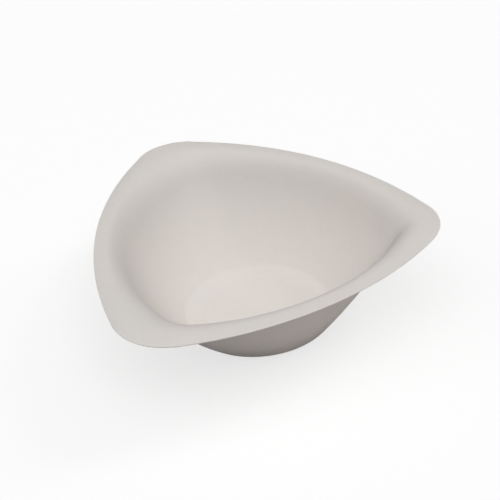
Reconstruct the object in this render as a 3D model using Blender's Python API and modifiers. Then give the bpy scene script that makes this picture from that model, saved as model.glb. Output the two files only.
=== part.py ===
"""Three-cornered hospital receiver dish, moulded in one piece.

The dish is a thin shell.  A flat round floor lofts up into a rounded
triangular mouth, and a broad flange rolls outward from the mouth, runs
nearly level and droops a little to its edge all the way round.

Frame: metres, +Z up.  The origin is the centre of the flat base, on the
plane the dish stands on.  +X runs towards the pouring corner, the back edge
lies towards -X, and the dish is symmetric about Y = 0.
"""
import math

import bmesh
import bpy
import numpy as np

# ---------------------------------------------------------------- dimensions
# Both outlines are rounded triangles of arcs, each tangent to the next:
# the pouring corner (tip), two long sides, two rear corners and the back.
# tip_x, rear_x and rear_y place the centres of the corner arcs.

# Outer edge of the flange.
EDGE = dict(tip_x=0.0771, tip_radius=0.0308,
            rear_x=-0.0447, rear_y=0.0734, rear_radius=0.0321,
            side_radius=0.2035, back_radius=0.2185)

# Knuckle: where the wall, carried on up, would meet the flange plane.
KNUCKLE = dict(tip_x=0.0789, tip_radius=0.0081,
               rear_x=-0.0313, rear_y=0.0588, rear_radius=0.0254,
               side_radius=0.1312, back_radius=0.1117)

HEIGHT = 0.0624       # base to the crown of the flange
WALL = 0.0008         # moulded wall thickness, even all over
RISE = HEIGHT - WALL  # height of the upper face, floor to crown

FLOOR_RADIUS = 0.0436      # floor circle, before its fillet
FLOOR_RING = 0.5           # size of the floor's inner ring of vertices, part of the outer
FLOOR_FILLET_IN = 0.0068   # fillet's reach on to the floor
FLOOR_FILLET_UP = 0.038    # fillet's reach up the wall, part of RISE
WALL_BOW = 0.388           # outward bow of the wall
MOUTH_START = 0.811        # part of RISE where the wall turns outward
CROWN = 0.525              # part of the flange's width where it is level
LIP_SLOPE = 0.218          # slope of the flange at its edge
EDGE_SOFT = 0.0003         # softened corners of the flange's cut edge

# Facets round one half of the dish.  Each rear corner is split at its
# widest point, so that point is always a column.
TIP_STEPS = 10
SIDE_STEPS = 12
REAR_SIDE_STEPS = 2   # rear corner, from the side to its widest point
REAR_BACK_STEPS = 10  # rear corner, from its widest point to the back
BACK_STEPS = 8

# Facets up the section.
FILLET_ROWS = 4
WALL_ROWS = 7
MOUTH_ROWS = 9
LIP_ROWS = 5


# ------------------------------------------------------------------ outlines
def outline(tip_x, tip_radius, rear_x, rear_y, rear_radius, side_radius, back_radius):
    """The +Y half of a rounded triangle, as (centre, radius, start) arcs in
    order of the bearing of the outward normal, 0 to 180 degrees."""
    tip = np.array([tip_x, 0.0])
    rear = np.array([rear_x, rear_y])
    span = np.linalg.norm(rear - tip)
    along = (rear - tip) / span
    across = np.array([along[1], -along[0]])
    if across[1] > 0.0:
        across = -across

    # The side arc encloses both corner arcs and touches each from outside,
    # which fixes the distance from its centre to each of theirs.
    to_tip = side_radius - tip_radius
    to_rear = side_radius - rear_radius
    foot = (to_tip**2 - to_rear**2 + span**2) / (2.0 * span)
    side = tip + along * foot + across * math.sqrt(to_tip**2 - foot**2)

    # The back arc is centred on the mirror plane.
    back_x = rear_x + math.sqrt((back_radius - rear_radius)**2 - rear_y**2)
    back = np.array([back_x, 0.0])

    def bearing(vector):
        return math.atan2(vector[1], vector[0])

    return [(tip, tip_radius, 0.0),
            (side, side_radius, bearing(tip - side)),
            (rear, rear_radius, bearing(rear - side)),
            (back, back_radius, bearing(rear - back))]


def on_outline(arcs, bearing):
    """Point of the outline whose outward normal has the given bearing."""
    mirror = 1.0 if bearing >= 0.0 else -1.0
    bearing = abs(bearing)
    # The tolerance lets a bearing on a joint find the arc that starts there.
    centre, radius, _ = [arc for arc in arcs if bearing >= arc[2] - 1e-9][-1]
    return np.array([centre[0] + radius * math.cos(bearing),
                     mirror * (centre[1] + radius * math.sin(bearing))])


def column_bearings(arcs):
    """Bearings of the columns of both halves, each stretch divided evenly."""
    side_start, rear_start, back_start = (arc[2] for arc in arcs[1:])
    widest = math.pi / 2
    stretches = [(0.0, side_start, TIP_STEPS),
                 (side_start, rear_start, SIDE_STEPS),
                 (rear_start, widest, REAR_SIDE_STEPS),
                 (widest, back_start, REAR_BACK_STEPS),
                 (back_start, math.pi, BACK_STEPS)]
    half = [start + (end - start) * i / steps
            for start, end, steps in stretches for i in range(steps)]
    return half + [math.pi] + [-bearing for bearing in reversed(half[1:])]


# ------------------------------------------------------------------- section
def station(inset=0.0, spread=1.0, reach=0.0, z=HEIGHT, droop=0.0):
    """One row of the section.  inset shrinks the floor circle; spread runs
    from the floor circle (0) to the knuckle (1) and reach from the knuckle
    (0) to the edge (1); droop is the part taken of the flange's full fall."""
    return np.array([inset, spread, reach, z, droop])


def wall_spread(up):
    """Spread of the wall at a part `up` of its rise."""
    return up + WALL_BOW * up * (1.0 - up)


def wall_station(up):
    return station(spread=wall_spread(up), z=WALL + RISE * up)


def wall_tangent(start, up):
    """Spread at `up` on the straight line tangent to the wall at `start`."""
    slope = 1.0 + WALL_BOW * (1.0 - 2.0 * start)
    return wall_spread(start) + slope * (up - start)


def parabola(start, corner, end, steps):
    """Rows after start, on a parabola whose end tangents meet at corner."""
    rows = []
    for i in range(1, steps + 1):
        u = i / steps
        rows.append((1 - u)**2 * start + 2 * u * (1 - u) * corner + u**2 * end)
    return rows


def section():
    """Rows of the shell's upper face, from the floor to the flange's edge."""
    floor = station(inset=FLOOR_FILLET_IN, spread=0.0, z=WALL)
    fillet_corner = station(spread=wall_tangent(FLOOR_FILLET_UP, 0.0), z=WALL)
    wall_foot = wall_station(FLOOR_FILLET_UP)
    wall_top = wall_station(MOUTH_START)
    mouth_corner = station(spread=wall_tangent(MOUTH_START, 1.0))
    crown = station(reach=CROWN)
    lip_corner = station(reach=(CROWN + 1.0) / 2)
    edge = station(reach=1.0, droop=1.0)

    wall_span = MOUTH_START - FLOOR_FILLET_UP
    wall = [wall_station(FLOOR_FILLET_UP + wall_span * i / WALL_ROWS)
            for i in range(1, WALL_ROWS + 1)]
    return ([floor]
            + parabola(floor, fillet_corner, wall_foot, FILLET_ROWS)
            + wall
            + parabola(wall_top, mouth_corner, crown, MOUTH_ROWS)
            + parabola(crown, lip_corner, edge, LIP_ROWS))


# ---------------------------------------------------------------------- mesh
def shell_surface(name):
    """Open upper surface of the dish, its faces looking up and inward."""
    edge_arcs = outline(**EDGE)
    knuckle_arcs = outline(**KNUCKLE)
    columns = []
    for bearing in column_bearings(edge_arcs):
        normal = np.array([math.cos(bearing), math.sin(bearing)])
        knuckle = on_outline(knuckle_arcs, bearing)
        flange = on_outline(edge_arcs, bearing) - knuckle
        # The wider the flange, the further it droops: the slope reached
        # at the edge is the same all round.
        fall = 0.5 * LIP_SLOPE * (1 - CROWN) * np.linalg.norm(flange)
        columns.append((normal, knuckle, flange, fall))

    bm = bmesh.new()
    rings = []
    for inset, spread, reach, z, droop in section():
        ring = []
        for normal, knuckle, flange, fall in columns:
            x, y = (normal * FLOOR_RADIUS * (1 - spread) + knuckle * spread
                    - normal * inset + flange * reach)
            ring.append(bm.verts.new((x, y, z - fall * droop)))
        rings.append(ring)

    # Floor: a disc of one inner ring and a centre.
    inner = [bm.verts.new((vert.co.x * FLOOR_RING, vert.co.y * FLOOR_RING, WALL))
             for vert in rings[0]]
    centre = bm.verts.new((0.0, 0.0, WALL))
    count = len(columns)
    for i in range(count):
        bm.faces.new((centre, inner[i], inner[(i + 1) % count]))
    for low, high in zip([inner] + rings[:-1], rings):
        for i in range(count):
            j = (i + 1) % count
            bm.faces.new((low[i], high[i], high[j], low[j]))

    mesh = bpy.data.meshes.new(name)
    bm.to_mesh(mesh)
    bm.free()
    return mesh


# --------------------------------------------------------------------- scene
def moulded_fibre():
    material = bpy.data.materials.new("moulded_fibre")
    material.use_nodes = True
    inputs = material.node_tree.nodes["Principled BSDF"].inputs
    inputs["Base Color"].default_value = (0.78, 0.745, 0.715, 1.0)
    inputs["Roughness"].default_value = 0.85
    inputs["Metallic"].default_value = 0.0
    return material


def dish_shell(collection):
    dish = bpy.data.objects.new("dish_shell", shell_surface("dish_shell"))
    collection.objects.link(dish)
    dish.data.materials.append(moulded_fibre())
    dish.data.shade_smooth()
    dish.data.set_sharp_from_angle(angle=math.radians(50.0))

    # The wall grows downward and outward from the moulded upper face, so the
    # underside of the floor lies on Z = 0.
    wall = dish.modifiers.new("wall", "SOLIDIFY")
    wall.thickness = WALL
    wall.offset = -1.0
    wall.use_even_offset = True
    wall.use_rim = True

    soft = dish.modifiers.new("soft_edge", "BEVEL")
    soft.width = EDGE_SOFT
    soft.segments = 2
    soft.limit_method = "ANGLE"
    soft.angle_limit = math.radians(60.0)


for obj in list(bpy.data.objects):
    bpy.data.objects.remove(obj, do_unlink=True)

parts = bpy.data.collections.new("receiver_dish")
bpy.context.scene.collection.children.link(parts)
dish_shell(parts)
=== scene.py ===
"""Three-cornered receiver dish: a thin shell of moulded fibre on a pale floor.

Metres, +Z up.  The dish stands on z = 0 and opens upwards.  Its round floor is
centred on the Z axis, the tip points to +X, the two rear corners lie towards
-X at +Y and -Y, and the plane y = 0 is its mirror plane.
"""
import math
from functools import reduce

import bpy
import numpy as np
from mathutils import Matrix, Vector


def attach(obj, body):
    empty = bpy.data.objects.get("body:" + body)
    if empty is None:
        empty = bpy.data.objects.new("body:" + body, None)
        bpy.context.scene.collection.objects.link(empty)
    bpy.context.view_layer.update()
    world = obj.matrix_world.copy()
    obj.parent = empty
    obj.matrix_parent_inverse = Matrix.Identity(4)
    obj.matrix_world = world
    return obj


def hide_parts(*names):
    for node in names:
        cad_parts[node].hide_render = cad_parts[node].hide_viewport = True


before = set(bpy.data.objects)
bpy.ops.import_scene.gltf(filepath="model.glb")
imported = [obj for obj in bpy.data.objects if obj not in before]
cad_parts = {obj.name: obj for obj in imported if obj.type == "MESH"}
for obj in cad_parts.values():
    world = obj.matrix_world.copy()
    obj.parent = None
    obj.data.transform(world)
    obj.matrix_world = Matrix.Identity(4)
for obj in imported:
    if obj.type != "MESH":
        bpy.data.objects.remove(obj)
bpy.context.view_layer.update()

# ------------------------------------------------------------- shell design
# Rounded triangles: the outer edge, and the knuckle where the wall would meet
# the flaring lip if the mouth were not rounded.
EDGE = dict(tip_x=0.0771, tip_radius=0.0308, rear_x=-0.0447, rear_y=0.0734,
            rear_radius=0.0321, side_radius=0.2035, back_radius=0.2185)
KNUCKLE = dict(tip_x=0.0789, tip_radius=0.0081, rear_x=-0.0313, rear_y=0.0588,
               rear_radius=0.0254, side_radius=0.1312, back_radius=0.1117)

HEIGHT = 0.0624
FLOOR_RADIUS = 0.0436
THICKNESS = 0.0008
EDGE_ROUND = 0.00036    # radius of both rounds on the rim
FILLET_INSET = 0.0068   # reach of the floor fillet inwards
FILLET_TOP = 0.038      # its upper end, as a share of the rise
MOUTH_START = 0.811     # where the wall bends into the lip, same share
WALL_BOW = 0.388        # how far the wall bulges beyond a straight slope
CROWN = 0.525           # end of that bend, as a share of knuckle to edge
LIP_SLOPE = 0.218       # downward slope of the lip at its edge
RISE = HEIGHT - THICKNESS

# Steps along half the outline: tip, side, rear corner before and after
# bearing 90 degrees, back.
OUTLINE_STEPS = (26, 120, 6, 50, 60)
# Steps along the section, from the floor's centre out to the edge.
SECTION_STEPS = dict(floor=34, fillet=14, wall=46, mouth=22, lip=14)
ROUND_STEPS = 5


def outline_arcs(tip_x, tip_radius, rear_x, rear_y, rear_radius, side_radius, back_radius):
    """Half of a mirror-symmetric rounded triangle, as (centre, radius, start
    bearing) arcs in order of the bearing of the outward normal."""
    tip, rear = np.array([tip_x, 0.0]), np.array([rear_x, rear_y])
    span = np.linalg.norm(rear - tip)
    along = (rear - tip) / span
    across = np.array([-along[1], along[0]])
    if across[1] > 0:
        across = -across
    # The side arc is tangent to both corner arcs.
    from_tip, from_rear = side_radius - tip_radius, side_radius - rear_radius
    foot = (from_tip ** 2 - from_rear ** 2 + span ** 2) / (2 * span)
    side = tip + along * foot + across * math.sqrt(from_tip ** 2 - foot ** 2)
    back_reach = math.sqrt((back_radius - rear_radius) ** 2 - rear_y ** 2)
    back = np.array([rear_x + back_reach, 0.0])

    def bearing(v):
        return math.atan2(v[1], v[0])

    return [(tip, tip_radius, 0.0), (side, side_radius, bearing(tip - side)),
            (rear, rear_radius, bearing(rear - side)),
            (back, back_radius, bearing(rear - back))]


def outline_points(arcs, bearings):
    points = np.zeros((len(bearings), 2))
    half = np.abs(bearings)
    for centre, radius, start in arcs:
        ahead = half >= start - 1e-12
        points[ahead, 0] = centre[0] + radius * np.cos(half[ahead])
        points[ahead, 1] = centre[1] + radius * np.sin(half[ahead])
    points[:, 1] *= np.where(bearings >= 0, 1.0, -1.0)
    return points


def column_bearings(arcs):
    """Normal bearings of the mesh columns, once round from the tip."""
    side, rear, back = (start for _, _, start in arcs[1:])
    marks = (0.0, side, rear, math.pi / 2, back, math.pi)
    half = []
    for low, high, steps in zip(marks, marks[1:], OUTLINE_STEPS):
        half += [low + (high - low) * i / steps for i in range(steps)]
    return np.array(half + [math.pi] + [-p for p in reversed(half[1:])])


def section_rows(floor, fillet, wall, mouth, lip):
    """Rows (inset, spread, crown, z, droop) from the floor's centre outwards.
    Spread runs 0..1 from floor circle to knuckle, crown from knuckle to edge,
    droop is the share of the lip's fall."""
    def steps(count):
        return [i / count for i in range(1, count + 1)]

    def spread(t):
        return t + WALL_BOW * t * (1 - t)

    def slope(t):
        return 1 + WALL_BOW * (1 - 2 * t)

    def bezier(u):
        return (1 - u) ** 2, 2 * u * (1 - u), u * u

    rows = [(FILLET_INSET * u + FLOOR_RADIUS * (1 - u), 0.0, 0.0, THICKNESS, 0.0)
            for u in steps(floor)]
    t0, t1 = FILLET_TOP, MOUTH_START
    corner = spread(t0) - slope(t0) * t0
    for u in steps(fillet):
        a, b, c = bezier(u)
        rows.append((FILLET_INSET * a, b * corner + c * spread(t0), 0.0,
                     THICKNESS + RISE * c * t0, 0.0))
    for u in steps(wall):
        t = t0 + (t1 - t0) * u
        rows.append((0.0, spread(t), 0.0, THICKNESS + RISE * t, 0.0))
    corner = spread(t1) + slope(t1) * (1 - t1)
    for u in steps(mouth):
        a, b, c = bezier(u)
        rows.append((0.0, a * spread(t1) + b * corner + c, c * CROWN,
                     HEIGHT - a * RISE * (1 - t1), 0.0))
    for u in steps(lip):
        rows.append((0.0, 1.0, CROWN + (1 - CROWN) * u, HEIGHT, u * u))
    return rows


def surface_normals(grid):
    around = np.roll(grid, -1, 1) - np.roll(grid, 1, 1)
    outwards = np.gradient(grid, axis=0)
    normals = np.cross(outwards, around)
    normals /= np.linalg.norm(normals, axis=-1, keepdims=True) + 1e-12
    return normals if normals[1, 0, 2] > 0 else -normals


def design_surfaces():
    """Upper and lower faces and the upper normals, as (row, column, xyz)."""
    arcs = outline_arcs(**EDGE)
    bearings = column_bearings(arcs)
    outward = np.c_[np.cos(bearings), np.sin(bearings)]
    edge = outline_points(arcs, bearings)
    knuckle = outline_points(outline_arcs(**KNUCKLE), bearings)
    fall = 0.5 * LIP_SLOPE * (1 - CROWN) * np.linalg.norm(edge - knuckle, axis=1)
    upper = np.array([
        np.c_[outward * FLOOR_RADIUS * (1 - spread) + knuckle * spread
              - outward * inset + (edge - knuckle) * crown, z - fall * droop]
        for inset, spread, crown, z, droop in section_rows(**SECTION_STEPS)])
    normals = surface_normals(upper)
    # The first ring closes on the floor's centre, where the floor is level.
    normals[0] = (0.0, 0.0, 1.0)
    lower = upper - normals * THICKNESS
    lower[:, :, 2] = np.maximum(lower[:, :, 2], 0.0)
    return upper, lower, normals


# --------------------------------------------------------- moulded unevenness
SWAY = dict(shortest=0.022, longest=0.055, count=24)    # wavelengths of broad waves
PULP = dict(shortest=0.0035, longest=0.008, count=60)   # and of fine lumps
UPPER_CUT = dict(sway=0.00007, pulp=0.000018)           # mean depths
LOWER_CUT = dict(sway=0.00006, pulp=0.000030)
SWING = 0.5             # how far the waves vary those depths
DEEPEST_CUT = 0.00025
FADE_ROWS = 5.0         # rows over which the relief dies out at the edge


def waves(points, shortest, longest, count, seed):
    """Smooth random relief, about -1..1, from plane waves in one band."""
    rng = np.random.RandomState(seed)
    total = np.zeros(points.shape[:-1])
    for _ in range(count):
        heading = rng.normal(size=3)
        heading /= np.linalg.norm(heading)
        length = shortest * (longest / shortest) ** rng.rand()
        total += np.sin(points @ heading * (2 * math.pi / length)
                        + rng.rand() * 2 * math.pi)
    return total / math.sqrt(2.0 * count)


def roughen(upper, lower, normals):
    """Only ever cut into the design faces, so the skin stays inside the solid."""
    row = np.arange(len(upper))[:, None]
    fade = np.clip((len(upper) - 1 - row) / FADE_ROWS, 0.0, 1.0)
    sway = SWING * waves(upper, **SWAY, seed=11)

    def cut(depths, sway, pulp):
        depth = depths["sway"] * (1.0 + sway) + depths["pulp"] * (1.0 + SWING * pulp)
        return normals * (np.clip(depth, 0.0, DEEPEST_CUT) * fade)[..., None]

    return (upper - cut(UPPER_CUT, sway, waves(upper, **PULP, seed=23)),
            lower + cut(LOWER_CUT, -sway, waves(lower, **PULP, seed=37)))


def build_shell(name):
    upper, lower, normals = design_surfaces()
    upper, lower = roughen(upper, lower, normals)
    n_columns = upper.shape[1]

    # Rounded edge: a quarter round, a short flat, a quarter round.
    rim, normal = upper[-1], normals[-1]
    out = rim - upper[-2]
    out /= np.linalg.norm(out, axis=1, keepdims=True)
    top_centre = rim - out * EDGE_ROUND - normal * EDGE_ROUND
    low_centre = rim - normal * (THICKNESS - EDGE_ROUND) - out * EDGE_ROUND
    angles = [math.pi / 2 * k / ROUND_STEPS for k in range(ROUND_STEPS + 1)]

    # Rings as (points, under, lip), over the upper face, the rim and back.
    rings = [(points, 0.0, 0.0) for points in upper[:-1]]
    rings += [(top_centre + EDGE_ROUND * (normal * math.cos(a) + out * math.sin(a)),
               0.0, 1.0) for a in angles]
    rings += [(low_centre + EDGE_ROUND * (out * math.cos(a) - normal * math.sin(a)),
               1.0, 1.0) for a in angles]
    rings += [(points, 1.0, 0.0) for points in lower[-2::-1]]

    # Two last points close the upper and lower faces at the centre.
    centres = [(0.0, 0.0, face[0, :, 2].mean()) for face in (upper, lower)]
    verts = np.concatenate([points for points, _, _ in rings] + [centres])
    last = (len(rings) - 1) * n_columns
    top_middle = last + n_columns
    low_middle = top_middle + 1
    turn = [(i, (i + 1) % n_columns) for i in range(n_columns)]
    faces = [(base + i, base + n_columns + i, base + n_columns + j, base + j)
             for base in range(0, last, n_columns) for i, j in turn]
    for i, j in turn:
        faces.append((top_middle, i, j))
        faces.append((low_middle, last + j, last + i))

    mesh = bpy.data.meshes.new(name)
    mesh.from_pydata(verts.tolist(), [], faces)
    mesh.update()
    for key, flags, at_centres in (("under", [ring[1] for ring in rings], (0.0, 1.0)),
                                   ("lip", [ring[2] for ring in rings], (0.0, 0.0))):
        values = np.append(np.repeat(flags, n_columns), at_centres)
        attribute = mesh.attributes.new(key, "FLOAT", "POINT")
        attribute.data.foreach_set("value", values.tolist())
    obj = bpy.data.objects.new(name, mesh)
    bpy.context.scene.collection.objects.link(obj)
    mesh.shade_smooth()
    return obj


# --------------------------------------------------------------- node graphs
class Graph:
    """Builds the node graph of one material or world."""

    def __init__(self, owner, coordinates="Object"):
        owner.use_nodes = True
        self.nodes, self.links = owner.node_tree.nodes, owner.node_tree.links
        self.coord = self.node("TexCoord").outputs[coordinates]

    def put(self, socket, value):
        if isinstance(value, bpy.types.NodeSocket):
            self.links.new(value, socket)
        else:
            socket.default_value = value

    def set_up(self, name, inputs):
        """Fill inputs of a node the graph started with."""
        for key, value in inputs.items():
            self.put(self.nodes[name].inputs[key], value)

    def node(self, kind, inputs=None, **settings):
        made = self.nodes.new("ShaderNode" + kind)
        for key, value in settings.items():
            setattr(made, key, value)
        for key, value in (inputs or {}).items():
            self.put(made.inputs[key], value)
        return made

    def math(self, operation, a, b=0.0, clamp=False):
        return self.node("Math", {0: a, 1: b}, operation=operation, use_clamp=clamp).outputs[0]

    def fold(self, operation, values):
        return reduce(lambda a, b: self.math(operation, a, b), values)

    def vector(self, operation, a, b):
        return self.node("VectorMath", {0: a, 1: b}, operation=operation)

    def noise(self, size, detail=2.0, rough=0.5, distortion=0.0, shift=0.0):
        """Noise with features about size metres across; shift moves the pattern."""
        place = self.coord
        if shift:
            offset = (shift, shift * 0.7, -shift * 1.3)
            place = self.vector("ADD", self.coord, offset).outputs[0]
        return self.node("TexNoise", {
            "Vector": place, "Scale": 1.0 / size, "Detail": detail,
            "Roughness": rough, "Distortion": distortion}).outputs[0]

    def span(self, value, between, to=(0.0, 1.0)):
        return self.node("MapRange", {
            "Value": value, "From Min": between[0], "From Max": between[1],
            "To Min": to[0], "To Max": to[1]}, clamp=True).outputs[0]

    def attribute(self, name):
        return self.node("Attribute", attribute_name=name).outputs["Fac"]

    def mix(self, factor, a, b, blend="MIX", kind="RGBA"):
        return self.node("Mix", {"Factor": factor, "A": a, "B": b},
                         data_type=kind, blend_type=blend).outputs["Result"]

    def camera_ray(self):
        return self.node("LightPath").outputs["Is Camera Ray"]


# ----------------------------------------------------------------- materials
def fibre_lines(g, size, width, shift):
    """Thin, curly, broken lines: single fibres lying in the surface."""
    field = g.noise(size, detail=1.0, distortion=1.4, shift=shift)
    ridge = g.math("ABSOLUTE", g.math("SUBTRACT", field, 0.5))
    line = g.span(ridge, between=(0.0, width), to=(1.0, 0.0))
    breaks = g.noise(size * 0.9, detail=1.0, shift=shift + 3.1)
    return g.math("MULTIPLY", line, g.span(breaks, between=(0.50, 0.60)))


def dark_specks(g, spacing):
    """Small round dots in a few of the cells of a Voronoi pattern."""
    cells = g.node("TexVoronoi", {"Vector": g.coord, "Scale": 1.0 / spacing})
    pick = g.node("SeparateColor", {0: cells.outputs["Color"]}).outputs[0]
    dot = g.span(cells.outputs["Distance"], between=(0.018, 0.050), to=(1.0, 0.0))
    return g.math("MULTIPLY", dot, g.span(pick, between=(0.93, 0.96)))


def moulded_fibre():
    material = bpy.data.materials.new("moulded_fibre")
    g = Graph(material)
    under, lip = g.attribute("under"), g.attribute("lip")
    broad = g.noise(0.045)
    cloud = g.noise(0.009, detail=3.0, rough=0.55, distortion=0.3, shift=1.7)
    felt = g.noise(0.0014, detail=4.0, rough=0.62, distortion=0.4, shift=2.9)
    grain = g.noise(0.00045, detail=3.0, rough=0.6, shift=4.3)
    fibres = g.math("MAXIMUM", fibre_lines(g, size=0.0060, width=0.011, shift=5.0),
                    fibre_lines(g, size=0.0040, width=0.013, shift=9.0))

    warm, cool = (0.789, 0.745, 0.709, 1), (0.779, 0.742, 0.713, 1)
    unbleached, cut_edge = (0.42, 0.33, 0.25, 1), (0.82, 0.785, 0.755, 1)
    colour = g.mix(g.span(broad, between=(0.38, 0.62)), warm, cool)
    tone = g.fold("MULTIPLY", [
        g.span(cloud, between=(0.25, 0.75), to=(0.994, 1.005)),
        g.span(felt, between=(0.25, 0.75), to=(0.983, 1.016)),
        g.span(grain, between=(0.2, 0.8), to=(0.984, 1.016)),
        g.span(fibres, between=(0.0, 1.0), to=(1.0, 0.965))])
    grey = g.node("CombineColor", {0: tone, 1: tone, 2: tone}).outputs[0]
    colour = g.mix(1.0, colour, grey, blend="MULTIPLY")
    specks = dark_specks(g, spacing=0.0055)
    colour = g.mix(g.math("MULTIPLY", specks, 0.45), colour, unbleached)
    # The cut edge is a little paler.
    colour = g.mix(g.math("MULTIPLY", lip, 0.35), colour, cut_edge)

    # The outer face is the rougher, felted side of the moulding.
    dry = g.span(felt, between=(0.25, 0.75), to=(0.80, 0.93))
    roughness = g.math("ADD", dry, g.math("MULTIPLY", under, 0.05), clamp=True)
    lumps = g.noise(0.0030, detail=3.0, rough=0.6, distortion=0.6, shift=7.7)
    coarse = g.math("MULTIPLY", lumps, under)
    layers = ((felt, 0.60), (grain, 0.25), (fibres, 0.22), (coarse, 1.1))
    relief = g.fold("ADD", [g.math("MULTIPLY", layer, weight) for layer, weight in layers])
    bump = g.node("Bump", {"Strength": 0.55, "Distance": 0.00010, "Height": relief})
    g.set_up("Principled BSDF", {
        "Base Color": colour, "Roughness": roughness, "Specular IOR Level": 0.30,
        "Sheen Weight": 0.06, "Sheen Roughness": 0.6, "Normal": bump.outputs[0]})
    return material


def floor_material():
    material = bpy.data.materials.new("floor")
    g = Graph(material)
    seen = g.camera_ray()
    # Painted shade: for the light it bounces, the floor is painted dark around a spot beyond
    # the rear corner at -Y, so the outer wall of the dish towards -X and -Y falls darker; seen
    # directly the floor stays pale.
    apart = g.vector("DISTANCE", g.coord, (-0.15, -0.10, 0.0)).outputs["Value"]
    painted_shade_bounce, bright, direct = (0.24, 0.25, 0.26, 1), (0.74, 0.71, 0.69, 1), (0.93, 0.93, 0.93, 1)
    bounce = g.mix(g.span(apart, between=(0.07, 0.18)), painted_shade_bounce, bright)
    g.set_up("Principled BSDF", {"Roughness": 0.9, "Specular IOR Level": 0.2,
                                 "Base Color": g.mix(seen, bounce, direct)})
    # Seen directly, it glows a little, so that it looks near white and keeps
    # only a faint shadow.
    glow = g.node("Emission", {"Color": (1, 1, 1, 1), "Strength": 1.12})
    surface = g.node("MixShader", {0: g.math("MULTIPLY", seen, 0.62),
                                   1: g.nodes["Principled BSDF"].outputs[0],
                                   2: glow.outputs[0]})
    g.set_up("Material Output", {"Surface": surface.outputs[0]})
    return material


# ------------------------------------------------------------ camera and floor
def add_camera(azimuth, elevation, roll, target, distance, lens, shift):
    """Aim at target; azimuth runs anticlockwise from -Y, angles in degrees."""
    az, el, tilt = (math.radians(v) for v in (azimuth, elevation, roll))
    back = Vector((math.sin(az) * math.cos(el), -math.cos(az) * math.cos(el), math.sin(el)))
    right = Vector((math.cos(az), math.sin(az), 0.0))
    up = back.cross(right)
    cos, sin = math.cos(tilt), math.sin(tilt)
    axes = Matrix((right * cos + up * sin, up * cos - right * sin, back))
    pose = axes.transposed().to_4x4()
    pose.translation = Vector(target) + back * distance
    data = bpy.data.cameras.new("camera")
    data.sensor_width = 36.0
    data.lens = lens
    data.shift_x, data.shift_y = shift
    camera = bpy.data.objects.new("camera", data)
    camera.matrix_world = pose
    bpy.context.scene.collection.objects.link(camera)
    bpy.context.scene.camera = camera


def add_floor():
    bpy.ops.mesh.primitive_plane_add(size=6.0, location=(0, 0, -0.0005))
    floor = bpy.context.active_object
    floor.name = "floor"
    floor.data.materials.append(floor_material())


# -------------------------------------------------------------------- light
# Soft light as lobes on the surrounding sphere: (azimuth, elevation,
# tightness, strength), azimuth in degrees anticlockwise from +X.
ROOM, SOFT_BOX = 14, 120
LOBES = [(0, 90, ROOM, 0.765), (180, 62, ROOM, 0.402), (240, 62, ROOM, 1.19),
         (300, 62, ROOM, 1.70), (200, 35, ROOM, 1.44),
         (20, 30, SOFT_BOX, 3.87), (20, 45, SOFT_BOX, 9.33), (40, 60, SOFT_BOX, 1.68),
         (255, 50, SOFT_BOX, 1.25), (300, 50, SOFT_BOX, 5.20)]
PALE_ROOM = 0.97


def light_lobe(g, azimuth, elevation, tightness, strength):
    a, e = math.radians(azimuth), math.radians(elevation)
    toward = Vector((math.cos(a) * math.cos(e), math.sin(a) * math.cos(e), math.sin(e)))
    facing = g.vector("DOT_PRODUCT", g.coord, toward).outputs["Value"]
    lobe = g.math("POWER", g.math("MAXIMUM", facing, 0.0), tightness)
    return g.math("MULTIPLY", lobe, strength)


def add_world():
    world = bpy.data.worlds.new("world")
    g = Graph(world, coordinates="Generated")
    total = g.fold("ADD", [light_lobe(g, *lobe) for lobe in LOBES])
    # Seen directly, above the floor's far edge, the room is as pale as the floor.
    strength = g.mix(g.camera_ray(), total, PALE_ROOM, kind="FLOAT")
    g.set_up("Background", {"Strength": strength, "Color": (1, 1, 1, 1)})
    bpy.context.scene.world = world


shell = build_shell("dish_shell_skin")
shell.data.materials.append(moulded_fibre())
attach(shell, "root")
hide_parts("dish_shell")

add_camera(azimuth=-1.167, elevation=35.693, roll=-1.742, target=(0.03, 0.0, 0.03),
           distance=0.6962, lens=84.14352, shift=(-0.11504, 0.03866))
add_floor()
add_world()
bpy.context.scene.view_settings.view_transform = "Standard"
